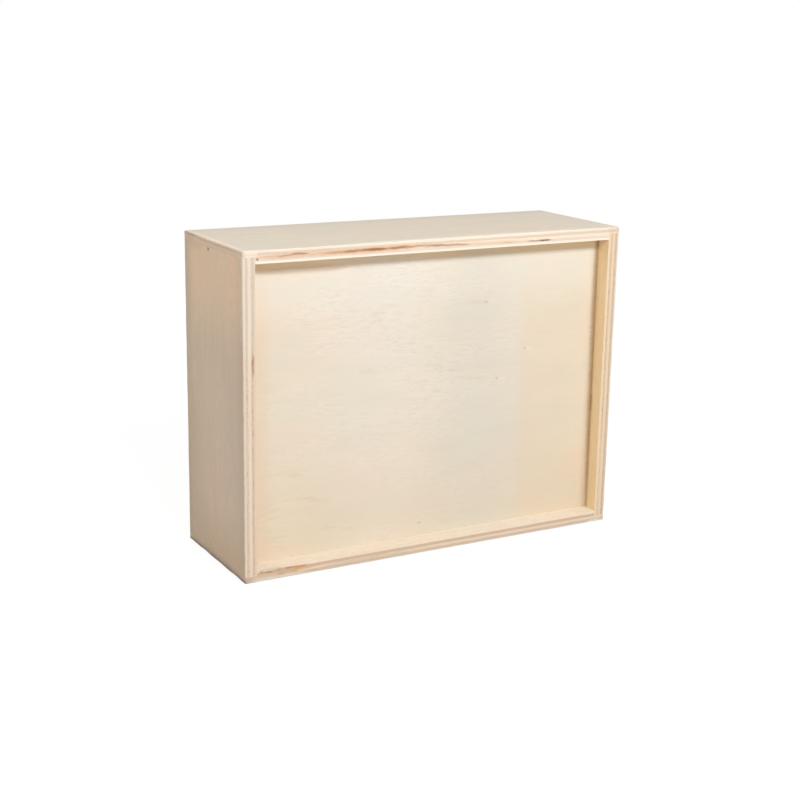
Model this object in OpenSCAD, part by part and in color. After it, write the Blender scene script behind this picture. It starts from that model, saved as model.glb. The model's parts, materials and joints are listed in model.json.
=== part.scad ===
// Tabletop chest of drawers in bare plywood.
// Origin at the middle of the base, +Z up, drawers open towards -Y, back panel towards +Y.
// Left and right are as seen by someone facing the drawers.

/* [Carcass] */
// Overall width, side to side
chest_w = 400; // [300:1:500]
// Overall depth, front edges to back edges
chest_d = 136; // [110:1:200]
// Overall height
chest_h = 303; // [220:1:400]
// Thickness of the top, bottom and side boards
board_t = 12; // [9:0.5:18]
// Thickness of the lap that the top and bottom leave over the ends of the sides
lap_t = 6; // [3:0.5:8]

/* [Back panel] */
// Distance from the back edges of the boards in to the panel
back_recess = 16; // [6:0.5:25]
// Thickness of the panel
back_t = 4; // [3:0.5:6]
// Depth of the groove that holds the panel all round
back_groove = 4; // [2:0.5:6]

/* [Drawer grid] */
// Rows of drawers
rows = 3; // [2:1:3]
// Drawers in a row
columns = 3; // [2:1:3]
// Thickness of the shelves and uprights
grid_t = 6; // [4:0.5:9]
// Depth of the housings that hold the ends of the shelves and uprights
housing = 3; // [1.5:0.5:5]
// Play on each face where a shelf and an upright are halved together
halving_play = 0.1; // [0.05:0.05:0.4]

/* [Drawers] */
// Thickness of a drawer front
front_t = 9; // [8:0.5:12]
// Thickness of a drawer's sides and back
wall_t = 6; // [4:0.5:8]
// Thickness of the lip that a front leaves over the ends of its sides
front_lip = 4; // [2:0.5:5]
// Depth of the rebate at the rear of a drawer side that takes the drawer back
rear_rebate = 3; // [1:0.5:3.5]
// Thickness of a drawer bottom
bottom_t = 3; // [2:0.5:5]
// Depth of the groove that holds a drawer bottom
bottom_groove = 2.5; // [1:0.5:3]
// Height of a drawer bottom above the lower edges of the drawer
bottom_up = 4; // [3:0.5:8]
// Radius of the finger notch in the top edge of a front
notch_r = 13; // [8:0.5:20]
// Distance of the fronts behind the front edges of the carcass
front_setback = 1; // [0:0.5:4]
// Gap between a drawer and its compartment on each side
side_play = 0.8; // [0.3:0.1:2]
// Gap above a drawer
top_play = 1.5; // [0.5:0.1:4]
// Running gap under a drawer
under_play = 0.3; // [0.1:0.1:1]
// Gap between a drawer and the back panel
rear_play = 2; // [0.5:0.5:6]

/* [Pins] */
// Diameter of the headless pins through the sides into the top and bottom
pin_d = 1.8; // [1:0.1:2.5]
// Length of a pin
pin_l = 25; // [18:1:35]
// Depth of a pin's outer end below the face of the side
pin_set = 1; // [0.5:0.5:2]
// Distance of the pins in front of the middle of the depth
pin_forward = 9; // [0:1:30]
// Play round a pin
pin_play = 0.05; // [0.02:0.01:0.1]

/* [Hidden] */
$fn = 48;
// Reach of a cut past the face that it opens
past = 1;
board_colour = "#EBDDC6";
panel_colour = "#F3E6CC";
grid_colour = "#E9D9BE";
drawer_colour = "#EEDFC6";
pin_colour = "#8A8378";

// Inside of the carcass
inner_w = chest_w - 2 * board_t;
inner_h = chest_h - 2 * board_t;
front_y = -chest_d / 2;
rear_y = chest_d / 2;
panel_rear_y = rear_y - back_recess;
panel_front_y = panel_rear_y - back_t;
grid_d = panel_front_y - front_y;

// Compartments
cell_w = (inner_w - (columns - 1) * grid_t) / columns;
cell_h = (inner_h - (rows - 1) * grid_t) / rows;
pitch_x = cell_w + grid_t;
pitch_z = cell_h + grid_t;
halving_y = front_y + grid_d / 2;
slot_t = grid_t + 2 * halving_play;

// One drawer, centred on x = 0 with its lower edges at z = 0
drawer_w = cell_w - 2 * side_play;
drawer_h = cell_h - under_play - top_play;
drawer_front_y = front_y + front_setback;
drawer_rear_y = panel_front_y - rear_play;
front_inside_y = drawer_front_y + front_t;
back_inside_y = drawer_rear_y - wall_t;
wall_x = drawer_w / 2 - wall_t;

// Height of the pins above the base, in the middle of the shoulder behind the lap
pin_z = (board_t + lap_t) / 2;
pin_reach = pin_set + pin_l;

drawer_count = rows * columns;
DRAWER_PIECES = ["front", "left_side", "right_side", "back", "bottom"];

// Floor of a row of compartments, counted from 0 at the bottom
function row_z(r) = board_t + r * pitch_z;
// Middle of a column of compartments, counted from 0 at the left
function column_x(c) = -inner_w / 2 + cell_w / 2 + c * pitch_x;
// Underside of a shelf, counted from 1 at the bottom
function shelf_z(r) = row_z(r) - grid_t;
// Left face of an upright, counted from 1 at the left
function upright_x(c) = column_x(c) - cell_w / 2 - grid_t;
// Drawers are counted from 1 at the top left, along each row
function drawer_row(n) = rows - 1 - floor((n - 1) / columns);
function drawer_column(n) = (n - 1) % columns;
function drawer_node(n, piece) = str("drawer_", n, "_", piece);

// Block between two opposite corners
module block(low, high) {
    translate(low) cube(high - low);
}

// Four places along X, one in each corner joint, started at the outer face of a side
module at_pins() {
    for (side = [0, 1])
        for (z = [pin_z, chest_h - pin_z])
            mirror([side, 0, 0])
                translate([chest_w / 2, -pin_forward, z])
                    rotate([0, -90, 0])
                        children();
}

module pin_holes() {
    at_pins() translate([0, 0, -past]) cylinder(d = pin_d + 2 * pin_play, h = pin_reach + past);
}

module carcass_pins() {
    color(pin_colour) at_pins() translate([0, 0, pin_set]) cylinder(d = pin_d, h = pin_l);
}

// Bottom board: rebated at both ends, grooved for the back panel and housed for the uprights
module end_board() {
    difference() {
        block([-chest_w / 2, front_y, 0], [chest_w / 2, rear_y, board_t]);
        for (side = [0, 1])
            mirror([side, 0, 0])
                block([inner_w / 2, front_y - past, lap_t], [chest_w / 2 + past, rear_y + past, board_t + past]);
        block(
            [-inner_w / 2 - past, panel_front_y, board_t - back_groove],
            [inner_w / 2 + past, panel_rear_y, board_t + past]
        );
        for (c = [1 : columns - 1])
            block(
                [upright_x(c), front_y - past, board_t - housing],
                [upright_x(c) + grid_t, panel_front_y + past, board_t + past]
            );
    }
}

module bottom_panel() {
    color(board_colour) difference() {
        end_board();
        pin_holes();
    }
}

module top_panel() {
    color(board_colour) difference() {
        translate([0, 0, chest_h]) mirror([0, 0, 1]) end_board();
        pin_holes();
    }
}

// Right side board: stands between the laps, grooved for the back panel and housed for the shelves
module right_side() {
    color(board_colour) difference() {
        block([inner_w / 2, front_y, lap_t], [chest_w / 2, rear_y, chest_h - lap_t]);
        block(
            [inner_w / 2 - past, panel_front_y, lap_t - past],
            [inner_w / 2 + back_groove, panel_rear_y, chest_h - lap_t + past]
        );
        for (r = [1 : rows - 1])
            block(
                [inner_w / 2 - past, front_y - past, shelf_z(r)],
                [inner_w / 2 + housing, panel_front_y + past, shelf_z(r) + grid_t]
            );
        pin_holes();
    }
}

module left_side() {
    mirror([1, 0, 0]) right_side();
}

module back_panel() {
    color(panel_colour) block(
        [-inner_w / 2 - back_groove, panel_front_y, board_t - back_groove],
        [inner_w / 2 + back_groove, panel_rear_y, chest_h - board_t + back_groove]
    );
}

// Shelf across the whole width, slotted from the front where the uprights cross
module shelf(r) {
    color(grid_colour) difference() {
        block(
            [-inner_w / 2 - housing, front_y, shelf_z(r)],
            [inner_w / 2 + housing, panel_front_y, shelf_z(r) + grid_t]
        );
        for (c = [1 : columns - 1])
            block(
                [upright_x(c) - halving_play, front_y - past, shelf_z(r) - past],
                [upright_x(c) - halving_play + slot_t, halving_y, shelf_z(r) + grid_t + past]
            );
    }
}

// Upright over the whole height, slotted from the rear where the shelves cross
module upright(c) {
    color(grid_colour) difference() {
        block(
            [upright_x(c), front_y, board_t - housing],
            [upright_x(c) + grid_t, panel_front_y, chest_h - board_t + housing]
        );
        for (r = [1 : rows - 1])
            block(
                [upright_x(c) - past, halving_y, shelf_z(r) - halving_play],
                [upright_x(c) + grid_t + past, panel_front_y + past, shelf_z(r) - halving_play + slot_t]
            );
    }
}

// Space that a drawer bottom fills, in its grooves
module bottom_space() {
    block(
        [-wall_x - bottom_groove, front_inside_y - bottom_groove, bottom_up],
        [wall_x + bottom_groove, back_inside_y + bottom_groove, bottom_up + bottom_t]
    );
}

// Front with rebated ends and a half-round finger notch
module drawer_front() {
    color(drawer_colour) difference() {
        block([-drawer_w / 2, drawer_front_y, 0], [drawer_w / 2, front_inside_y, drawer_h]);
        for (side = [0, 1])
            mirror([side, 0, 0])
                block(
                    [wall_x, drawer_front_y + front_lip, -past],
                    [drawer_w / 2 + past, front_inside_y + past, drawer_h + past]
                );
        translate([0, drawer_front_y - past, drawer_h])
            rotate([-90, 0, 0])
                cylinder(r = notch_r, h = front_t + 2 * past);
        bottom_space();
    }
}

// Right side, from the front's lip to the rear of the drawer
module drawer_right_side() {
    color(drawer_colour) difference() {
        block([wall_x, drawer_front_y + front_lip, 0], [drawer_w / 2, drawer_rear_y, drawer_h]);
        block(
            [wall_x - past, back_inside_y, -past],
            [wall_x + rear_rebate, drawer_rear_y + past, drawer_h + past]
        );
        bottom_space();
    }
}

module drawer_left_side() {
    mirror([1, 0, 0]) drawer_right_side();
}

// Back, held in the rebates of the two sides
module drawer_back() {
    color(drawer_colour) difference() {
        block(
            [-wall_x - rear_rebate, back_inside_y, 0],
            [wall_x + rear_rebate, drawer_rear_y, drawer_h]
        );
        bottom_space();
    }
}

module drawer_bottom() {
    color(panel_colour) bottom_space();
}

// Puts one drawer in its compartment
module in_compartment(n) {
    translate([column_x(drawer_column(n)), 0, row_z(drawer_row(n)) + under_play]) children();
}

top_panel();
bottom_panel();
left_side();
right_side();
back_panel();
carcass_pins();
for (r = [1 : rows - 1])
    shelf(r);
for (c = [1 : columns - 1])
    upright(c);
for (n = [1 : drawer_count]) {
    in_compartment(n) drawer_front();
    in_compartment(n) drawer_left_side();
    in_compartment(n) drawer_right_side();
    in_compartment(n) drawer_back();
    in_compartment(n) drawer_bottom();
}
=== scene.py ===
"""Looks of a tabletop chest of drawers in bare plywood: eased boards, wood, light and camera."""

import json
import math
from collections import namedtuple

import bmesh
import bpy
from mathutils import Matrix, Vector, noise

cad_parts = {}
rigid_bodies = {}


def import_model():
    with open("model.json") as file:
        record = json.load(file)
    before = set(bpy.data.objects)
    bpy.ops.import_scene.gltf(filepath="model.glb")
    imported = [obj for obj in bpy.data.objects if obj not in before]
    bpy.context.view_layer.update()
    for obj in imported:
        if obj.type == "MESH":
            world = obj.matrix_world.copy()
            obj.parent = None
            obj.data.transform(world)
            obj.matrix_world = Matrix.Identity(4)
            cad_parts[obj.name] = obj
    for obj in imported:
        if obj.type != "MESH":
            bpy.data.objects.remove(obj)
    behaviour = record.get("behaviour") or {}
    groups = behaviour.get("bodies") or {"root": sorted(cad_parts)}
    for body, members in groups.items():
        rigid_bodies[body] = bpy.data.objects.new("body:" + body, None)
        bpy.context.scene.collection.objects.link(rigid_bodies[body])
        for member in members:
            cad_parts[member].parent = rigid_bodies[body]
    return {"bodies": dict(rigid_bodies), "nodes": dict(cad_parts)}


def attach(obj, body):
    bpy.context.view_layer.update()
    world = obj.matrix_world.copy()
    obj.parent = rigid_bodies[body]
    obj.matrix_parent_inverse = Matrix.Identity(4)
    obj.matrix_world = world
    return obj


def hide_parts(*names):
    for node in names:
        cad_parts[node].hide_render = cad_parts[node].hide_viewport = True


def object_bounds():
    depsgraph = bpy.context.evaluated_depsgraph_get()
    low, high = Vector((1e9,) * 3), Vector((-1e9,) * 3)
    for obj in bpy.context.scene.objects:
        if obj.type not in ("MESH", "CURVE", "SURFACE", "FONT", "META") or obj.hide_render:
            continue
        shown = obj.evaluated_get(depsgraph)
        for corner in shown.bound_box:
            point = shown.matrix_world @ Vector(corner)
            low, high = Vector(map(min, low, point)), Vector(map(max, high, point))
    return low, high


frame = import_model()
chest_low, chest_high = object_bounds()

MM = 0.001
X, Y, Z = 0, 1, 2
WHITE = (1, 1, 1, 1)


# Camera, set so that the chest's corners fall where the photograph shows them
IMAGE_PIXELS = 800
FOCAL_PIXELS = 1469.9
SENSOR_MM = 36.0
VIEW_AZIMUTH = math.radians(150.616)
VIEW_ELEVATION = math.radians(14.670)
VIEW_ROLL = math.radians(1.064)
VIEW_DISTANCE = 1.4792
VIEW_SIDE = -0.0018
VIEW_RISE = 0.1294


def make_camera():
    """Camera behind the chest, a little above it and turned to show its right side."""
    level = math.cos(VIEW_ELEVATION)
    height = math.sin(VIEW_ELEVATION)
    back = Vector((math.sin(VIEW_AZIMUTH) * level, -math.cos(VIEW_AZIMUTH) * level, height))
    right = Vector((0, 0, 1)).cross(back).normalized()
    turn = Matrix.Rotation(VIEW_ROLL, 3, back)
    right = turn @ right
    up = back.cross(right)
    eye = VIEW_SIDE * right + VIEW_RISE * up + VIEW_DISTANCE * back
    data = bpy.data.cameras.new("camera")
    data.sensor_width = SENSOR_MM
    data.lens = FOCAL_PIXELS / IMAGE_PIXELS * SENSOR_MM
    camera = bpy.data.objects.new("camera", data)
    axes = Matrix((right, up, back)).transposed()
    camera.matrix_world = Matrix.Translation(eye) @ axes.to_4x4()
    bpy.context.collection.objects.link(camera)
    bpy.context.scene.camera = camera


# Light, in metres, with levels as the brightness of a white surface
AMBIENT = 0.36
KEY_LEVELS = {"left": 0.405, "right": 0.235}
KEY_ASIDE = {"left": 0.22, "right": -0.54}
KEY_SLOPE = 0.76
KEY_DISTANCE = 1.7
KEY_WIDTH = 0.45
KEY_HEIGHT = 0.30
FILL_LEVEL = 0.18
FILL_PLACE = Vector((1.2, -0.15, 0.75))
FILL_SIZE = 0.5
OVERHEAD_LEVEL = 0.09
OVERHEAD_RISE = Vector((0, 0, 1.8))
OVERHEAD_SIZE = 1.2
FRONT_LEVEL = 0.5
FRONT_PLACE = Vector((-0.4, -1.7, 0.4))
FRONT_WIDTH = 1.2
FRONT_HEIGHT = 0.5
FLOOR_HALF = 6.0
FLOOR_DROP = 0.2 * MM
FLOOR_BOUNCE = (0.66, 0.61, 0.55, 1)
FLOOR_GLOW = 0.865
FLOOR_SHADE = (0.175, 0.175, 0.175, 1)
SHADOW_NEAR = 0.45
SHADOW_FAR = 1.0


def lamp_power(level, distance):
    """Watts at which an area lamp lights a white surface that faces it to a level."""
    return level * (math.pi * distance) ** 2


def make_lamp(name, place, target, width, height, level):
    """Area lamp that faces a point and lights a white surface there to a level."""
    data = bpy.data.lights.new(name, "AREA")
    data.shape = "RECTANGLE"
    data.size = width
    data.size_y = height
    data.energy = lamp_power(level, (place - target).length)
    lamp = bpy.data.objects.new(name, data)
    lamp.location = place
    lamp.rotation_euler = (place - target).to_track_quat("Z", "Y").to_euler()
    bpy.context.collection.objects.link(lamp)
    return lamp


def make_light():
    """Two soft keys behind the chest, where the camera stands, and weaker lamps around it."""
    middle = (chest_low + chest_high) / 2
    for name, aside in KEY_ASIDE.items():
        towards = Vector((aside, 1, KEY_SLOPE)).normalized()
        place = middle + towards * KEY_DISTANCE
        make_lamp(f"key_{name}", place, middle, KEY_WIDTH, KEY_HEIGHT, KEY_LEVELS[name])
    make_lamp("fill", FILL_PLACE, middle, FILL_SIZE, FILL_SIZE, FILL_LEVEL)
    overhead = middle + OVERHEAD_RISE
    make_lamp("overhead", overhead, middle, OVERHEAD_SIZE, OVERHEAD_SIZE, OVERHEAD_LEVEL)
    front = make_lamp("front", FRONT_PLACE, middle, FRONT_WIDTH, FRONT_HEIGHT, FRONT_LEVEL)
    front.visible_glossy = False


def seen_ray(graph):
    """1 for rays that show the background itself: camera, glossy and transmission rays."""
    path = graph.node("ShaderNodeLightPath").outputs
    seen = graph.math("MAXIMUM", path["Is Camera Ray"], path["Is Glossy Ray"])
    return graph.math("MAXIMUM", seen, path["Is Transmission Ray"])


def make_world():
    """Even white light, which looks plain white where it is seen."""
    world = bpy.data.worlds.new("studio")
    world.use_nodes = True
    bpy.context.scene.world = world
    graph = Graph(world.node_tree)
    strength = graph.scale(seen_ray(graph), 0, 1, AMBIENT, 1)
    light = graph.node("ShaderNodeBackground", WHITE, strength)
    graph.node("ShaderNodeOutputWorld", light.outputs[0])


def floor_white():
    """White that keeps the chest's soft shadow and fades to even white farther out."""
    graph = new_material("floor_white")
    cloth = graph.node("ShaderNodeBsdfDiffuse", FLOOR_BOUNCE)
    glow = graph.node("ShaderNodeEmission", WHITE, FLOOR_GLOW)
    shade = graph.node("ShaderNodeBsdfDiffuse", FLOOR_SHADE)
    near = graph.node("ShaderNodeAddShader", glow.outputs[0], shade.outputs[0])
    plain = graph.node("ShaderNodeEmission", WHITE, 1.0)
    place = graph.node("ShaderNodeTexCoord").outputs["Object"]
    away = graph.step(graph.length(place), SHADOW_NEAR, SHADOW_FAR)
    seen = graph.node("ShaderNodeMixShader", away, near.outputs[0], plain.outputs[0])
    both = graph.node("ShaderNodeMixShader", seen_ray(graph), cloth.outputs[0], seen.outputs[0])
    graph.node("ShaderNodeOutputMaterial", both.outputs[0])
    return graph.material


def make_floor():
    """Plain white floor just below the chest."""
    low = chest_low.z - FLOOR_DROP
    corners = [(-1, -1), (1, -1), (1, 1), (-1, 1)]
    mesh = bpy.data.meshes.new("floor")
    mesh.from_pydata([(x * FLOOR_HALF, y * FLOOR_HALF, low) for x, y in corners], [], [(0, 1, 2, 3)])
    mesh.materials.append(floor_white())
    floor = bpy.data.objects.new("floor", mesh)
    bpy.context.collection.objects.link(floor)


# Shader graphs, with the places of a mix node's sockets for colours
MIX_SHARE = 0
MIX_FIRST = 6
MIX_SECOND = 7
MIX_RESULT = 2


class Graph:
    """Short names for the nodes of one shader."""

    def __init__(self, tree):
        self.tree = tree
        self.tree.nodes.clear()

    def feed(self, socket, value):
        """Links a socket to another one, or sets it to a constant."""
        if isinstance(value, bpy.types.NodeSocket):
            self.tree.links.new(value, socket)
        else:
            socket.default_value = value

    def node(self, kind, *values, **settings):
        """A new node with its settings, and with its inputs fed in order."""
        made = self.tree.nodes.new(kind)
        for key, value in settings.items():
            setattr(made, key, value)
        for socket, value in zip(made.inputs, values):
            self.feed(socket, value)
        return made

    def math(self, operation, *values):
        return self.node("ShaderNodeMath", *values, operation=operation).outputs[0]

    def total(self, *values):
        made = values[0]
        for value in values[1:]:
            made = self.math("ADD", made, value)
        return made

    def times(self, *values):
        made = values[0]
        for value in values[1:]:
            made = self.math("MULTIPLY", made, value)
        return made

    def vector(self, operation, *values):
        return self.node("ShaderNodeVectorMath", *values, operation=operation).outputs[0]

    def length(self, value):
        return self.node("ShaderNodeVectorMath", value, operation="LENGTH").outputs["Value"]

    def dot(self, first, second):
        return self.node("ShaderNodeVectorMath", first, second, operation="DOT_PRODUCT").outputs["Value"]

    def scaled(self, value, amount):
        made = self.node("ShaderNodeVectorMath", value, operation="SCALE")
        self.feed(made.inputs["Scale"], amount)
        return made.outputs[0]

    def split(self, value):
        return list(self.node("ShaderNodeSeparateXYZ", value).outputs)

    def join(self, *values):
        return self.node("ShaderNodeCombineXYZ", *values).outputs[0]

    def scale(self, value, low, high, new_low, new_high, soft=False):
        """A range mapped to another one and held at its ends."""
        kind = "SMOOTHSTEP" if soft else "LINEAR"
        made = self.node("ShaderNodeMapRange", value, low, high, new_low, new_high, interpolation_type=kind)
        return made.outputs[0]

    def step(self, value, low, high):
        """A soft step from 0 to 1 between two values, which may fall."""
        return self.scale(value, low, high, 0, 1, soft=True)

    def invert(self, value):
        return self.math("SUBTRACT", 1.0, value)

    def choose(self, share, first, second):
        """The first number where the share is 0, and the second where it is 1."""
        return self.total(first, self.times(share, self.math("SUBTRACT", second, first)))

    def mix(self, share, first, second):
        """The first colour where the share is 0, and the second where it is 1."""
        made = self.node("ShaderNodeMix", data_type="RGBA")
        self.feed(made.inputs[MIX_SHARE], share)
        self.feed(made.inputs[MIX_FIRST], first)
        self.feed(made.inputs[MIX_SECOND], second)
        return made.outputs[MIX_RESULT]

    def cells(self, place, *sizes):
        """Place counted in cells of these sizes, in millimetres along X, Y and Z or the same along all."""
        counts = [1 / (size * MM) for size in sizes]
        return self.vector("MULTIPLY", place, tuple(counts if len(counts) == 3 else counts * 3))

    def noise_node(self, place, detail=2.0, roughness=0.5, distortion=0.0):
        """Noise over a place that is counted in cells."""
        made = self.node("ShaderNodeTexNoise", place)
        made.inputs["Scale"].default_value = 1.0
        made.inputs["Detail"].default_value = detail
        made.inputs["Roughness"].default_value = roughness
        made.inputs["Distortion"].default_value = distortion
        return made

    def noise(self, place, **settings):
        return self.noise_node(place, **settings).outputs["Fac"]

    def colours(self, place, **settings):
        return self.noise_node(place, **settings).outputs["Color"]

    def bump(self, height, depth, strength=1.0):
        """The way a surface faces when its relief has this depth in metres."""
        made = self.node("ShaderNodeBump")
        made.inputs["Strength"].default_value = strength
        made.inputs["Distance"].default_value = depth
        self.feed(made.inputs["Height"], height)
        return made.outputs[0]


def new_material(name):
    """A new material with an empty graph."""
    material = bpy.data.materials.new(name)
    material.use_nodes = True
    graph = Graph(material.node_tree)
    graph.material = material
    return graph


def finish_material(graph, inputs):
    """The graph's material, as a surface with these inputs."""
    shader = graph.node("ShaderNodeBsdfPrincipled")
    for name, value in inputs.items():
        graph.feed(shader.inputs[name], value)
    graph.node("ShaderNodeOutputMaterial", shader.outputs[0])
    return graph.material


def paint(red, green, blue):
    """Linear colour of one written in sRGB, each part from 0 to 255."""
    parts = [part / 255 for part in (red, green, blue)]
    return tuple(p / 12.92 if p <= 0.04045 else ((p + 0.055) / 1.055) ** 2.4 for p in parts) + (1.0,)


# Wood, with lengths in millimetres along and across its fibres
FINE = (26, 0.8)
FLECK = (11, 2.0)
FIGURE = (120, 14)
CLOUD = (90, 45)
BLOTCH = (60, 36)
PORE_WIDTH = 3.2
PORE_HEIGHT = 1.1
SWIRL = 8
NOISE_MIDDLE = (0.5, 0.5, 0.5)

# Plies, as shares of a board's thickness, and the length of their wave in millimetres
PLY_CUTS = {3: (0.30, 0.70), 5: (0.19, 0.35, 0.63, 0.79)}
PLY_BLUR = 0.04
PLY_WAVE = 17
PLY_WAVE_DEPTH = 0.03
GLUE_EDGE = (0.020, 0.008)
GLUE_STRENGTH = 0.16

# Shifts of the grain that keep boards and plies from looking alike, a board's longer along the fibres
SHIFT_NAME = "grain_shift"
SHIFT_ALONG = 1.7
PLY_SHIFT = 0.173

# Where a turn of the surface or a noise begins to show, and where it shows in full
FACE_TURN = (0.55, 0.85)
END_TURN = (0.6, 0.9)
PORE_STEP = (0.50, 0.66)
VEIN_STEP = (0.45, 0.75)
TINT_STEP = (0.35, 0.65)
CLUSTER_STEP = (0.34, 0.60)
WORN_TURN = (0.985, 0.86)
WORN_STEP = (0.25, 0.6)
WORN_STRENGTH = 0.55

# Tones, each from one end of a noise to the other
TONE_STEP = (0.25, 0.75)
FINE_TONE = (0.984, 1.013)
CLOUD_TONE = (-0.02, 0.02)
FLECK_STEP = (0.47, 0.74)
FLECK_TONE = (0.016, -0.088)

# Roughness, shine and relief
ROUGH_STEP = (0.2, 0.8)
ROUGHNESS = (0.55, 0.75)
SPECULAR = 0.3
BUMP_STRENGTH = 0.5
BUMP_DEPTH = 0.12 * MM
FLECK_RELIEF = 0.6
FIGURE_RELIEF = 0.8

# Streaks, with lengths in radii
STREAK_EDGE = (1.0, 0.1)
STREAK_LONG = 5
STREAK_TAPER = 0.8
TAPER_POWER = 4.0

# Colours of plain plywood
LIGHT_PLY = paint(243, 232, 215)
DARK_PLY = paint(216, 194, 169)
GLUE = paint(176, 140, 104)
PORES = paint(176, 146, 116)
ARRIS = paint(246, 236, 220)
ROSY = (1.014, 0.995, 0.988, 1)
GREENISH = (0.988, 1.003, 0.994, 1)

# A wood is one kind of board, with its plies from the low side to the high side. A mark is a streak on
# it, a wash tints its faces from one place to another, and a calm leaves fewer flecks there.
Wood = namedtuple(
    "Wood", "face figure plies cuts depth pores marks washes calms", defaults=[None, 0.3, 0.3, (), (), ()],
)
Mark = namedtuple("Mark", "start end radius colour strength rough bend", defaults=[1.0, 1.0])
Wash = namedtuple("Wash", "axis start end colour strength")
Calm = namedtuple("Calm", "axis start end left")

# What a shader knows about a point
Spot = namedtuple("Spot", "place parts facing through on_face shift grain across thick")
Plies = namedtuple("Plies", "colour layer crossed seam")
Fibres = namedtuple("Fibres", "fine fleck figure cloud blotch pores swirl")


def find_spot(graph, grain, thick):
    """Where a point lies in its board, and which way the surface faces there."""
    source = graph.node("ShaderNodeTexCoord").outputs
    place = source["Object"]
    facing = [graph.math("ABSOLUTE", part) for part in graph.split(source["Normal"])]
    ripple = graph.noise(graph.cells(place, PLY_WAVE), detail=1.0)
    wave = graph.scale(ripple, 0, 1, -PLY_WAVE_DEPTH, PLY_WAVE_DEPTH)
    shift = graph.node("ShaderNodeAttribute", attribute_type="OBJECT", attribute_name=SHIFT_NAME)
    return Spot(
        place=place,
        parts=graph.split(place),
        facing=facing,
        through=graph.total(graph.split(source["Generated"])[thick], wave),
        on_face=graph.step(facing[thick], *FACE_TURN),
        shift=shift.outputs["Fac"],
        grain=grain,
        across=X + Y + Z - grain - thick,
        thick=thick,
    )


def find_plies(graph, spot, wood):
    """The plies' colours, which ply a point is in, and how far it is from a glue line."""
    colour = wood.plies[0]
    layer = 0.0
    seam = 1.0
    cuts = wood.cuts or PLY_CUTS[len(wood.plies)]
    for cut, following in zip(cuts, wood.plies[1:]):
        colour = graph.mix(graph.step(spot.through, cut - PLY_BLUR, cut + PLY_BLUR), colour, following)
        layer = graph.total(graph.math("GREATER_THAN", spot.through, cut), layer)
        away = graph.math("ABSOLUTE", graph.math("SUBTRACT", spot.through, cut))
        seam = graph.math("MINIMUM", away, seam)
    return Plies(colour, layer, crossed=graph.math("MODULO", layer, 2.0), seam=seam)


def fibre_noise(graph, fibre, size, **settings):
    """Noise of a size along and across the fibres."""
    along, across = size
    return graph.noise(graph.cells(fibre, along, across, across), **settings)


def find_fibres(graph, spot, plies):
    """Noises drawn out along the fibres, which lie across in every other ply."""
    level, beside = spot.parts[spot.grain], spot.parts[spot.across]
    along = graph.total(graph.choose(plies.crossed, level, beside), graph.times(spot.shift, SHIFT_ALONG))
    ply_shift = graph.times(plies.layer, PLY_SHIFT)
    across = graph.total(graph.choose(plies.crossed, beside, level), spot.shift, ply_shift)
    fibre = graph.join(along, across, spot.parts[spot.thick])
    ends = graph.choose(plies.crossed, spot.facing[spot.grain], spot.facing[spot.across])
    pore_sizes = [PORE_HEIGHT if axis == spot.thick else PORE_WIDTH for axis in (X, Y, Z)]
    pore = graph.noise(graph.cells(spot.place, *pore_sizes), detail=1.0)
    swirl = graph.colours(graph.cells(spot.place, SWIRL))
    return Fibres(
        fine=fibre_noise(graph, fibre, FINE, detail=3.0, roughness=0.6),
        fleck=fibre_noise(graph, fibre, FLECK, detail=2.0, distortion=0.8),
        figure=fibre_noise(graph, fibre, FIGURE, detail=4.0, roughness=0.6, distortion=1.0),
        cloud=fibre_noise(graph, fibre, CLOUD, detail=2.0),
        blotch=fibre_noise(graph, fibre, BLOTCH, detail=2.0),
        pores=graph.times(graph.step(pore, *PORE_STEP), graph.step(ends, *END_TURN)),
        swirl=graph.vector("SUBTRACT", swirl, NOISE_MIDDLE),
    )


def streak(graph, place, mark, fibres):
    """1 along the middle of an uneven streak and 0 outside it, tapering if it is long."""
    start = Vector(mark.start) * MM
    span = Vector(mark.end) * MM - start
    radius = mark.radius * MM
    bent = graph.vector("ADD", place, graph.scaled(fibres.swirl, mark.bend * MM))
    offset = graph.vector("SUBTRACT", bent, tuple(start))
    share = graph.scale(graph.dot(offset, tuple(span / span.length_squared)), 0, 1, 0, 1)
    nearest = graph.vector("MULTIPLY", tuple(span), graph.join(share, share, share))
    away = graph.length(graph.vector("SUBTRACT", offset, nearest))
    away = graph.times(away, 1 / radius)
    if span.length > STREAK_LONG * radius:
        from_middle = graph.math("ABSOLUTE", graph.scale(share, 0, 1, -1, 1))
        away = graph.total(away, graph.times(graph.math("POWER", from_middle, TAPER_POWER), STREAK_TAPER))
    ragged = graph.scale(graph.total(fibres.fine, fibres.fleck), 0, 2, -mark.rough, mark.rough)
    return graph.step(graph.total(away, ragged), *STREAK_EDGE)


def bare_colour(graph, spot, plies, fibres, wood):
    """Face veneer with its veins and washes, and at the edges plies, glue lines and pores."""
    base = graph.mix(spot.on_face, plies.colour, wood.face)
    veins = graph.times(graph.step(fibres.figure, *VEIN_STEP), wood.depth, spot.on_face)
    base = graph.mix(veins, base, wood.figure)
    for wash in wood.washes:
        share = graph.step(spot.parts[wash.axis], wash.start * MM, wash.end * MM)
        base = graph.mix(graph.times(share, wash.strength, spot.on_face), base, wash.colour)
    glue = graph.scale(plies.seam, *GLUE_EDGE, 0, GLUE_STRENGTH, soft=True)
    base = graph.mix(graph.times(glue, graph.invert(spot.on_face)), base, GLUE)
    return graph.mix(graph.times(fibres.pores, wood.pores), base, PORES)


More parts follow.
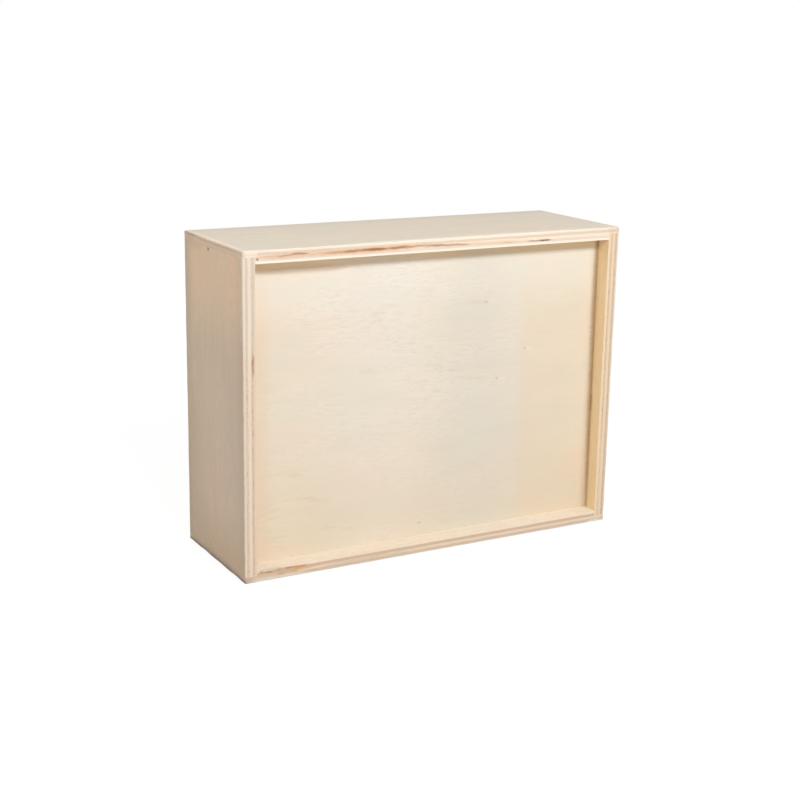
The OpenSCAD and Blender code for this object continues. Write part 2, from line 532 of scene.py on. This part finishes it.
def marked_colour(graph, spot, fibres, wood, base):
    """A colour with paler worn edges and the wood's marks."""
    widest = graph.math("MAXIMUM", graph.math("MAXIMUM", spot.facing[X], spot.facing[Y]), spot.facing[Z])
    rounded = graph.scale(widest, *WORN_TURN, 0, WORN_STRENGTH, soft=True)
    base = graph.mix(graph.times(rounded, graph.step(fibres.fleck, *WORN_STEP)), base, ARRIS)
    for mark in wood.marks:
        share = graph.times(streak(graph, spot.place, mark, fibres), mark.strength)
        base = graph.mix(share, base, mark.colour)
    return base


def wood_tone(graph, spot, fibres, wood):
    """How light the wood is from fibre to fibre, with clusters of flecks on its faces."""
    clusters = graph.times(graph.step(fibres.cloud, *CLUSTER_STEP), spot.on_face)
    for calm in wood.calms:
        kept = graph.scale(spot.parts[calm.axis], calm.start * MM, calm.end * MM, 1, calm.left, soft=True)
        clusters = graph.times(clusters, kept)
    return graph.total(
        graph.scale(fibres.fine, *TONE_STEP, *FINE_TONE),
        graph.scale(fibres.cloud, *TONE_STEP, *CLOUD_TONE),
        graph.times(graph.scale(fibres.fleck, *FLECK_STEP, *FLECK_TONE), clusters),
    )


def plywood(name, grain, thick, wood):
    """Plywood all through, with its grain along one axis and its thickness along another."""
    graph = new_material(name)
    spot = find_spot(graph, grain, thick)
    plies = find_plies(graph, spot, wood)
    fibres = find_fibres(graph, spot, plies)
    flecks = graph.times(fibres.fleck, FLECK_RELIEF)
    figure = graph.times(fibres.figure, FIGURE_RELIEF)
    bare = bare_colour(graph, spot, plies, fibres, wood)
    marked = marked_colour(graph, spot, fibres, wood, bare)
    toned = graph.scaled(marked, wood_tone(graph, spot, fibres, wood))
    tint = graph.mix(graph.step(fibres.blotch, *TINT_STEP), ROSY, GREENISH)
    return finish_material(graph, {
        "Base Color": graph.vector("MULTIPLY", toned, tint),
        "Roughness": graph.scale(fibres.fine, *ROUGH_STEP, *ROUGHNESS),
        "Specular IOR Level": SPECULAR,
        "Normal": graph.bump(graph.total(fibres.fine, flecks, figure), BUMP_DEPTH, BUMP_STRENGTH),
    })


# Steel of the pins, with lengths in millimetres along and across them
TARNISH = 1.1
DRAWN = (5, 0.25)
DRAWN_STEP = (0.3, 0.7)
DRAWN_DEPTH = 0.02 * MM
PIN_ROUGHNESS = (0.35, 0.6)
PIN_BRIGHT = paint(120, 114, 106)
PIN_TARNISHED = paint(84, 66, 52)


def pin_steel():
    """Dull pin heads, drawn wire with a little tarnish."""
    graph = new_material("pin_steel")
    place = graph.node("ShaderNodeTexCoord").outputs["Object"]
    tarnish = graph.noise(graph.cells(place, TARNISH), detail=3.0)
    drawn = fibre_noise(graph, place, DRAWN, detail=1.0)
    return finish_material(graph, {
        "Base Color": graph.mix(tarnish, PIN_BRIGHT, PIN_TARNISHED),
        "Roughness": graph.scale(drawn, *DRAWN_STEP, *PIN_ROUGHNESS),
        "Metallic": 1.0,
        "Normal": graph.bump(drawn, DRAWN_DEPTH),
    })


# Boards
WELD = 0.005 * MM
FLAT = math.radians(2)
SHARP = math.radians(30)
ROUND = 0.5
ARRIS_R = 1.0 * MM
ARRIS_SEGMENTS = 3
ARRIS_STEP = 9 * MM
JOINT_R = 0.25 * MM
JOINT_SEGMENTS = 2
WEAR_DEPTH = 0.35 * MM
WEAR_REACH = 1.01 * ARRIS_R
WEAR_PER_METRE = 55
WEAR_BIAS = 0.15


def box_planes(vert):
    """The sides of the chest's own box that a vertex lies on."""
    found = set()
    for axis in (X, Y, Z):
        for end, value in enumerate((chest_low[axis], chest_high[axis])):
            if abs(vert.co[axis] - value) < WELD:
                found.add((axis, end))
    return found


def sharp_edges(mesh):
    """The edges at which two faces meet at an angle."""
    return [e for e in mesh.edges if len(e.link_faces) == 2 and e.calc_face_angle(0) > SHARP]


def outer_edges(mesh):
    """The sharp edges that lie along an outer edge of the chest."""
    return [e for e in sharp_edges(mesh) if len(box_planes(e.verts[0]) & box_planes(e.verts[1])) >= 2]


def divide(edge, step):
    """Cuts an edge into equal lengths of about a step."""
    count = max(1, round(edge.calc_length() / step))
    start = edge.verts[0]
    for left in range(count, 1, -1):
        edge, vert = bmesh.utils.edge_split(edge, start, 1 / left)
        edge = next(e for e in vert.link_edges if e.other_vert(vert) != start)
        start = vert


def ease(mesh, edges, radius, segments):
    """Rounds edges to a radius."""
    bmesh.ops.bevel(
        mesh, geom=edges, offset=radius, offset_type="OFFSET", segments=segments, profile=ROUND,
        affect="EDGES", clamp_overlap=True,
    )


def wear(mesh):
    """Sands the rounded outer edges a little unevenly."""
    for vert in mesh.verts:
        near = []
        for axis in (X, Y, Z):
            low = vert.co[axis] - chest_low[axis]
            high = chest_high[axis] - vert.co[axis]
            if min(low, high) < WEAR_REACH:
                near.append((axis, 1 if low < high else -1, min(low, high)))
        if len(near) != 2:
            continue
        amount = WEAR_DEPTH * max(0.0, noise.noise(vert.co * WEAR_PER_METRE) + WEAR_BIAS)
        for axis, inward, depth in near:
            if depth >= WELD:
                vert.co[axis] += inward * amount


def eased_mesh(node):
    """A board's mesh with its outer edges rounded by sanding and its other edges broken."""
    mesh = bmesh.new()
    mesh.from_mesh(frame["nodes"][node].data)
    bmesh.ops.remove_doubles(mesh, verts=mesh.verts, dist=WELD)
    bmesh.ops.dissolve_limit(mesh, angle_limit=FLAT, verts=mesh.verts, edges=mesh.edges)
    for edge in outer_edges(mesh):
        divide(edge, ARRIS_STEP)
    ease(mesh, outer_edges(mesh), ARRIS_R, ARRIS_SEGMENTS)
    wear(mesh)
    ease(mesh, sharp_edges(mesh), JOINT_R, JOINT_SEGMENTS)
    for face in mesh.faces:
        face.smooth = True
    data = bpy.data.meshes.new(f"{node}_eased")
    mesh.to_mesh(data)
    mesh.free()
    return data


def eased_board(node, body, material, shift):
    """A board as the frame has it, with eased edges and its own shift of the grain."""
    data = eased_mesh(node)
    data.materials.append(material)
    piece = bpy.data.objects.new(f"{node}_eased", data)
    piece[SHIFT_NAME] = shift
    bpy.context.collection.objects.link(piece)
    piece.modifiers.new("flat_faces", "WEIGHTED_NORMAL").keep_sharp = True
    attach(piece, body)
    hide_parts(node)


# Faces that carry marks, in millimetres from the middle of the chest's foot
def reach(node, axis):
    """Lowest and highest place of a board along an axis."""
    places = [vert.co[axis] / MM for vert in frame["nodes"][node].data.vertices]
    return min(places), max(places)


SIDE_X, BACK_Y, TOP_Z = chest_high / MM
WALL_X = reach("right_side", X)[0]
PANEL_Y = reach("back_panel", Y)[1]
RIGHT, LEFT = 1, -1
END_REACH = 90

# Colours of marks, roughly from dark to pale; a few of them are painted shade
UMBER = paint(112, 74, 56)
STAIN = paint(112, 90, 70)
DEEP_BROWN = paint(132, 74, 44)
FOOT_GRAIN_AND_SHADE = paint(138, 123, 110)
NUT_BROWN = paint(152, 107, 79)
KNOT = paint(162, 140, 114)
WALL_CORNER_SHADE = paint(164, 122, 74)
SPLIT = paint(168, 132, 108)
FRONT_SHADE = paint(168, 150, 132)
END_GRAIN = paint(172, 138, 112)
PANEL_CORNER_SHADE = paint(177, 143, 92)
RED_BROWN = paint(186, 120, 82)
FOOT_END = paint(188, 167, 148)
FOOT_JOINT = paint(194, 173, 152)
FRONT_WIDE_SHADE = paint(199, 178, 153)
SHADOW_UNDER_TOP_EDGE = paint(200, 172, 144)
FAR_FOOT = paint(200, 176, 150)
DULL_END = paint(204, 180, 156)
GREY_PLY = paint(204, 189, 171)
TAN = paint(206, 152, 108)
TAN_PLY = paint(206, 186, 164)
FAINT = paint(206, 186, 160)
COOL_PANEL = paint(206, 212, 210)
HEAD_SHADE = paint(208, 184, 158)
FADED = paint(214, 192, 166)
SMEAR = paint(214, 196, 166)
SAND = paint(216, 184, 150)
HEAD_JOINT = paint(218, 193, 168)
PEACH = paint(222, 178, 143)
TOP_END = paint(222, 197, 172)
PALE_SAND = paint(222, 200, 172)
ORANGE_BROWN = paint(224, 166, 108)
DULL_PLY = paint(230, 212, 190)
WHITE_PANEL = paint(234, 232, 230)
PINKISH = paint(238, 206, 192)
WARM_PLY = paint(240, 216, 186)
CHALK = paint(240, 233, 224)
WHITE_HEAD = paint(240, 236, 232)
WHITE_PLY = paint(242, 236, 226)
PALE = paint(250, 238, 219)
CREAM = paint(250, 241, 228)
PALE_RIM = paint(251, 230, 209)

# Roughness of the streaks in the top, and looks of the faint lines on the panel
TOP_ROUGH = 0.6
FAINT_R = 3.2
FAINT_STRENGTH = 0.2
FAINT_ROUGH = 1.8
FAINT_BEND = 7.0


# Marks, each given by its places and then its radius, colour, strength and sometimes roughness
def on_back(start, end, *looks):
    """Streak on the boards' back edges, between places given as across and up."""
    places = [(across, BACK_Y, up) for across, up in (start, end)]
    return Mark(*places, *looks)


def along_top(start, end, *looks):
    """Streak on the top's back edge, between places given as across and below the top."""
    places = [(across, TOP_Z - below) for across, below in (start, end)]
    return on_back(*places, *looks, TOP_ROUGH)


def on_panel(start, end, *looks):
    """Streak on the back panel, between places given as across and up."""
    places = [(across, PANEL_Y, up) for across, up in (start, end)]
    return Mark(*places, *looks)


def faint_line(*places):
    """Faint wavy line on the back panel, through places given as across and up."""
    looks = (FAINT_R, FAINT, FAINT_STRENGTH, FAINT_ROUGH, FAINT_BEND)
    return [on_panel(*pair, *looks) for pair in zip(places, places[1:])]


def on_wall(start, end, *looks):
    """Streak on the left side's inner face, between places given as back and up."""
    places = [(-WALL_X, back, up) for back, up in (start, end)]
    return Mark(*places, *looks)


def on_end(side, up, front, back, *looks):
    """Level streak on a side of the chest, between two places given from front to back."""
    return Mark((side * SIDE_X, front, up), (side * SIDE_X, back, up), *looks)


def along_end(side, up, *looks):
    """Level streak on a side of the chest, all along it."""
    return on_end(side, up, -END_REACH, END_REACH, *looks)


def up_end(back, low, high, *looks):
    """Upright streak on the right side of the chest, between two heights."""
    return Mark((SIDE_X, back, low), (SIDE_X, back, high), *looks)


TOP_MARKS = [
    along_top((194, 6.4), (88, 6.0), 3.6, PEACH, 0.7),
    along_top((168, 7.1), (149, 5.2), 1.1, RED_BROWN, 0.45),
    along_top((155, 5.1), (136, 5.4), 1.3, NUT_BROWN, 0.72),
    along_top((112, 8.8), (26, 8.9), 2.0, PINKISH, 0.6),
    along_top((116, 6.6), (16, 5.6), 3.0, PEACH, 0.75),
    along_top((124, 6.8), (84, 5.9), 2.2, TAN, 0.65),
    along_top((104, 6.4), (78, 6.1), 1.9, NUT_BROWN, 0.5),
    along_top((92, 5.8), (58, 6.2), 2.6, TAN, 0.85),
    along_top((66, 6.3), (28, 5.6), 2.2, TAN, 0.85),
    along_top((87, 5.8), (59, 6.1), 1.6, DEEP_BROWN, 0.65),
    along_top((57, 6.4), (38, 5.6), 1.4, NUT_BROWN, 0.55),
    along_top((36, 5.3), (-4, 5.9), 1.9, RED_BROWN, 0.55),
    along_top((20, 5.9), (-30, 7.1), 1.4, UMBER, 0.65),
    along_top((34, 6.2), (-100, 7.4), 2.4, PEACH, 0.4),
    along_top((-60, 7.8), (-78, 8.3), 1.1, RED_BROWN, 0.22),
    along_top((-90, 7.9), (-122, 8.1), 1.1, UMBER, 0.6),
    along_top((-105, 8.1), (-119, 8.1), 1.2, UMBER, 0.85),
    along_top((188, 2.0), (199, 2.0), 4.2, PALE, 0.8),
    along_top((-189, 2.6), (-199, 2.6), 4.4, TOP_END, 0.5),
    along_top((186.0, 7.7), (186.0, 8.1), 1.6, STAIN, 0.75),
    along_end(RIGHT, TOP_Z - 4.0, 7.0, TOP_END, 0.9, 0.3),
    along_end(RIGHT, TOP_Z - 2.2, 1.6, END_GRAIN, 0.3, 0.5),
    on_end(RIGHT, TOP_Z - 1.2, -92, -32, 2.4, END_GRAIN, 0.6, 0.5),
    on_end(RIGHT, TOP_Z - 5.2, -94, -40, 2.6, DULL_END, 0.7, 0.3),
    on_end(RIGHT, TOP_Z + 0.2, -36, 100, 1.4, PALE_RIM, 0.65, 0.3),
    along_end(LEFT, TOP_Z - 4.0, 7.0, TOP_END, 0.8, 0.3),
    along_end(LEFT, TOP_Z - 2.2, 1.6, END_GRAIN, 0.4, 0.5),
    Mark((197.2, -80, TOP_Z), (197.2, 80, TOP_Z), 3.0, PALE_RIM, 0.8, 0.5),
    Mark((140, BACK_Y - 2, TOP_Z + 3), (-230, BACK_Y - 2, TOP_Z + 3), 7.5, PALE, 0.95, 0.4),
    along_top((-108, 2.1), (-196, 2.1), 1.5, DULL_PLY, 0.45),
]
BOTTOM_MARKS = [
    on_back((196, 6.6), (126, 6.8), 5.6, SAND, 0.7),
    on_back((187, 9.0), (166, 8.0), 1.8, STAIN, 0.15),
    on_back((190, 10.6), (164, 10.6), 1.6, PALE_SAND, 0.6),
    on_back((204, 4.6), (158, 4.6), 1.9, FADED, 0.6),
    on_back((126, 5.0), (12, 5.0), 1.9, FADED, 0.45),
    on_back((206, 1.6), (136, 1.6), 2.8, CHALK, 0.6),
    on_back((-178, 1.2), (-206, 1.2), 2.2, CREAM, 0.7),
    on_back((185, 9.2), (183, 9.0), 1.7, STAIN, 0.35),
    on_back((181, 8.7), (173, 7.6), 1.5, STAIN, 0.3),
    on_back((168, 8.9), (164, 8.8), 1.4, STAIN, 0.3),
    on_back((166, 4.2), (163, 4.4), 1.3, STAIN, 0.25),
    on_back((158, 8.9), (155, 8.8), 1.4, STAIN, 0.3),
    on_back((146, 8.6), (138, 8.8), 1.2, STAIN, 0.35),
    on_back((170, 5.4), (144, 4.6), 1.6, RED_BROWN, 0.3),
    on_back((163, 9.2), (139, 8.4), 1.3, RED_BROWN, 0.7),
    on_back((155, 6.7), (141, 7.2), 2.0, ORANGE_BROWN, 0.7),
    along_end(RIGHT, 2.0, 20.0, FOOT_END, 0.9, 0.3),
    # Dark end grain at the foot, deepened with painted contact shade
    along_end(RIGHT, 1.5, 3.8, FOOT_GRAIN_AND_SHADE, 0.85, 0.4),
    along_end(LEFT, 1.0, 9.0, FAR_FOOT, 0.6),
]
RIGHT_MARKS = [
    along_end(RIGHT, TOP_Z - 6.2, 1.8, HEAD_JOINT, 0.8, 0.3),
    along_end(RIGHT, 6.4, 2.4, FOOT_JOINT, 0.7, 0.3),
    on_end(RIGHT, TOP_Z - 9, -110, -20, 8.0, HEAD_SHADE, 0.45, 0.4),
    on_end(RIGHT, TOP_Z - 9, -9.4, -8.6, 2.4, STAIN, 0.8),
    on_back((194, 340), (194, 206), 15.0, WHITE_PLY, 0.3, 0.3),
    on_back((196.0, 320), (196.2, 205), 1.9, GREY_PLY, 0.42, 0.4),
    on_back((190.0, 320), (190.0, 205), 2.0, TAN_PLY, 0.42, 0.4),
    on_end(RIGHT, 12, -14, -13, 2.4, RED_BROWN, 0.5),
    up_end(-70, -80, 120, 14.0, FRONT_SHADE, 0.5, 0.3),
    # Broad painted shade towards the side's front edge, lower down
    up_end(-50, -60, 160, 44.0, FRONT_WIDE_SHADE, 0.4, 0.3),
    on_back((189.4, 212), (189.6, 192), 1.1, PEACH, 0.5),
    on_back((190.7, 213), (190.9, 190), 1.3, SPLIT, 0.85),
]
LEFT_MARKS = [
    # Painted shade on the wall along its corner with the back panel
    on_wall((PANEL_Y + 2.2, -40), (PANEL_Y - 3.8, 340), 4.0, WALL_CORNER_SHADE, 0.55, 0.2),
    on_wall((PANEL_Y + 1, 130), (PANEL_Y + 1, 116), 3.0, RED_BROWN, 0.5),
    on_back((-199.4, 130), (-199.4, -20), 2.2, FADED, 0.5),
    on_back((-191.4, 110), (-191.4, -10), 1.7, WARM_PLY, 0.5),
]
PANEL_MARKS = [
    on_panel((55, -80), (55, 380), 90, WHITE_PANEL, 0.18, 0.2),
    on_panel((60, 240), (60, 420), 90, WHITE_HEAD, 0.2, 0.2),
    on_panel((-50, -160), (-50, 340), 85, COOL_PANEL, 0.27, 0.2),
    on_panel((-59.6, 236.6), (-57.4, 236.8), 1.6, KNOT, 0.36),
    on_panel((-58, 237.0), (-42, 237.0), 4.4, SMEAR, 0.2),
    on_panel((-63, 236.6), (-67, 236.6), 3.2, PALE, 0.2),
    on_panel((-72.7, 160.1), (-73.4, 159.7), 1.8, KNOT, 0.34),
    on_panel((-30, 164.4), (-66, 161), 3.4, SMEAR, 0.15),
    on_panel((-77, 160.6), (-82, 160.2), 3.2, PALE, 0.16),
    on_panel((-103.8, 187.4), (-105, 187.2), 1.6, KNOT, 0.26),
    on_panel((-108.5, 187.0), (-113, 187.0), 2.8, PALE, 0.24),
    on_panel((12, 24.8), (9, 25), 1.6, KNOT, 0.25),
    *faint_line((68, 234), (47, 235)),
    *faint_line((70, 228), (52, 227)),
    *faint_line((79, 181), (61, 181)),
    *faint_line((8, 181), (-16, 178)),
    *faint_line((152, 91), (132, 89)),
    *faint_line((148, 69), (104, 61)),
    *faint_line((118, 36), (98, 34), (78, 27)),
    # Painted shade along the corner where the panel meets the left side
    on_panel((-191, -40), (-186.4, 340), 7.4, PANEL_CORNER_SHADE, 0.88, 0.2),
    # Painted shadow of the top's back edge, lengthened over the panel's right part
    on_panel((185, 280), (85, 280), 5.0, SHADOW_UNDER_TOP_EDGE, 0.4, 0.3),
]

# Washes, which tint a board's faces more and more from one place to another; most of them are painted light
# or shade
WARM_TONE_AND_SHADE = paint(234, 212, 183)
PANEL_TOP_LIGHT = paint(244, 237, 224)
SHADE_UNDER_TOP = paint(255, 231, 196)
WALL_BOUNCE_LIGHT = paint(252, 226, 182)
SIDE_TOP_LIGHT = paint(232, 205, 176)
SIDE_BACK_SHADE = paint(207, 190, 172)
SIDE_FOOT_SHADE = paint(203, 178, 152)
SIDE_RIM_SHADE = paint(194, 177, 156)
RIM_TOP = paint(214, 203, 186)

TOP_WASHES = [
    Wash(Y, -36, -66, RIM_TOP, 0.6),
]
RIGHT_WASHES = [
    # Painted shade: the side duller and darker towards its back edge
    Wash(Y, 0, 62, SIDE_BACK_SHADE, 0.5),
    # Painted light: the side paler and warmer towards its top
    Wash(Z, 195, 275, SIDE_TOP_LIGHT, 0.9),
    # Painted shade: the side darker towards its foot
    Wash(Z, 70, 8, SIDE_FOOT_SHADE, 0.7),
    # Painted shade: the side darker at its front and back rims
    Wash(Y, -40, -72, SIDE_RIM_SHADE, 0.85),
    Wash(Y, 50, 64, SIDE_RIM_SHADE, 0.4),
]
LEFT_WASHES = [
    # Painted light: the wall's inner face paler and warmer, standing in for light bounced in the recess
    Wash(X, -198, -190, WALL_BOUNCE_LIGHT, 0.9),
]
PANEL_WASHES = [
    # Warmer towards the panel's left end
    Wash(X, -92, -108, WARM_TONE_AND_SHADE, 0.30),
    # Painted shade: warmer towards the corner where the panel meets the right side
    Wash(X, 162, 179, WARM_TONE_AND_SHADE, 0.5),
    # Painted shade: warmer and darker towards the panel's foot
    Wash(Z, 150, 20, WARM_TONE_AND_SHADE, 0.45),
    # Painted light: the panel paler towards its top, below the shaded strip
    Wash(Z, 215, 270, PANEL_TOP_LIGHT, 0.6),
    # Painted shade: the panel's strip under the top's overhang tinted warm brown
    Wash(Z, 279, 284, SHADE_UNDER_TOP, 0.9),
]
PANEL_CALMS = [
    Calm(X, 0, -130, 0.4),
    Calm(Z, 170, 90, 0.6),
]

# Colours of the plies, from the low side of a board to its high side
FIVE_PLIES = [LIGHT_PLY, DARK_PLY, LIGHT_PLY, DARK_PLY, LIGHT_PLY]
THREE_PLIES = [LIGHT_PLY, DARK_PLY, LIGHT_PLY]
TOP_PLIES = [
    paint(253, 242, 225),
    paint(236, 222, 208),
    paint(249, 231, 210),
    paint(232, 211, 190),
    paint(246, 234, 218),
]
BOTTOM_CUTS = (0.13, 0.29, 0.51, 0.73)
BOTTOM_PLIES = [
    paint(230, 215, 197),
    paint(218, 200, 178),
    paint(238, 218, 197),
    paint(216, 192, 168),
    paint(250, 230, 210),
]
RIGHT_PLIES = [
    paint(230, 211, 189),
    paint(217, 196, 173),
    paint(237, 219, 202),
    paint(225, 206, 187),
    paint(234, 216, 198),
]
LEFT_PLIES = [
    paint(232, 216, 198),
    paint(212, 190, 164),
    paint(236, 213, 188),
    paint(221, 198, 170),
    paint(242, 220, 189),
]

# Woods
TOP_WOOD = Wood(
    face=paint(226, 213, 195), figure=paint(216, 198, 174), plies=TOP_PLIES, pores=0.08,
    marks=TOP_MARKS, washes=TOP_WASHES,
)
BOTTOM_WOOD = Wood(
    face=paint(242, 229, 211), figure=paint(232, 214, 190), plies=BOTTOM_PLIES, cuts=BOTTOM_CUTS,
    pores=0.15, marks=BOTTOM_MARKS,
)
RIGHT_WOOD = Wood(
    face=paint(217, 197, 176), figure=paint(206, 182, 157), plies=RIGHT_PLIES, depth=0.6, pores=0.36,
    marks=RIGHT_MARKS, washes=RIGHT_WASHES,
)
LEFT_WOOD = Wood(
    face=paint(228, 210, 187), figure=paint(214, 192, 164), plies=LEFT_PLIES, pores=0.38,
    marks=LEFT_MARKS, washes=LEFT_WASHES,
)
PANEL_WOOD = Wood(
    face=paint(236, 225, 208), figure=paint(227, 213, 191), plies=THREE_PLIES,
    marks=PANEL_MARKS, washes=PANEL_WASHES, calms=PANEL_CALMS,
)
GRID_WOOD = Wood(face=paint(232, 216, 192), figure=paint(216, 194, 164), plies=FIVE_PLIES)
FRONT_WOOD = Wood(face=paint(236, 222, 200), figure=paint(222, 202, 174), plies=FIVE_PLIES, depth=0.5)
DRAWER_WOOD = Wood(face=paint(234, 219, 196), figure=paint(218, 197, 168), plies=FIVE_PLIES, depth=0.5)
DRAWER_BOTTOM_WOOD = DRAWER_WOOD._replace(plies=THREE_PLIES)


# Pieces
DRAWERS = sum(1 for name in frame["bodies"] if name.startswith("drawer_"))
GRAIN_STEP = 0.377


def make_carcass():
    """The boards of the carcass, each in its own piece of wood."""
    shelf = plywood("shelf_ply", X, Z, GRID_WOOD)
    upright = plywood("upright_ply", Z, X, GRID_WOOD)
    boards = {
        "top_panel": ("carcass_board", plywood("top_ply", X, Z, TOP_WOOD)),
        "bottom_panel": ("carcass_board", plywood("bottom_ply", X, Z, BOTTOM_WOOD)),
        "left_side": ("carcass_board", plywood("left_ply", Z, X, LEFT_WOOD)),
        "right_side": ("carcass_board", plywood("right_ply", Z, X, RIGHT_WOOD)),
        "back_panel": ("back_panel", plywood("panel_ply", X, Y, PANEL_WOOD)),
        "shelf_1": ("grid_board", shelf),
        "shelf_2": ("grid_board", shelf),
        "upright_1": ("grid_board", upright),
        "upright_2": ("grid_board", upright),
    }
    for count, (node, (slot, material)) in enumerate(boards.items()):
        eased_board(node, "carcass", material, count * GRAIN_STEP)


def make_drawers():
    """The boards of the drawers, which share their woods and shift the grain from board to board."""
    side = plywood("drawer_side_ply", Y, X, DRAWER_WOOD)
    boards = {
        "front": ("drawer_front", plywood("drawer_front_ply", X, Y, FRONT_WOOD)),
        "left_side": ("drawer_board", side),
        "right_side": ("drawer_board", side),
        "back": ("drawer_board", plywood("drawer_back_ply", X, Y, DRAWER_WOOD)),
        "bottom": ("drawer_board", plywood("drawer_bottom_ply", X, Z, DRAWER_BOTTOM_WOOD)),
    }
    for number in range(1, DRAWERS + 1):
        body = f"drawer_{number}"
        for count, (part, (slot, material)) in enumerate(boards.items()):
            shift = (number * len(boards) + count) * GRAIN_STEP
            eased_board(f"{body}_{part}", body, material, shift)


def make_pins():
    """The pin heads, set below the faces of the sides."""
    pins = frame["nodes"]["carcass_pins"]
    pins.data.materials.clear()
    pins.data.materials.append(pin_steel())


make_camera()
make_world()
make_light()
make_floor()
make_carcass()
make_drawers()
make_pins()
bpy.context.scene.view_settings.view_transform = "Standard"
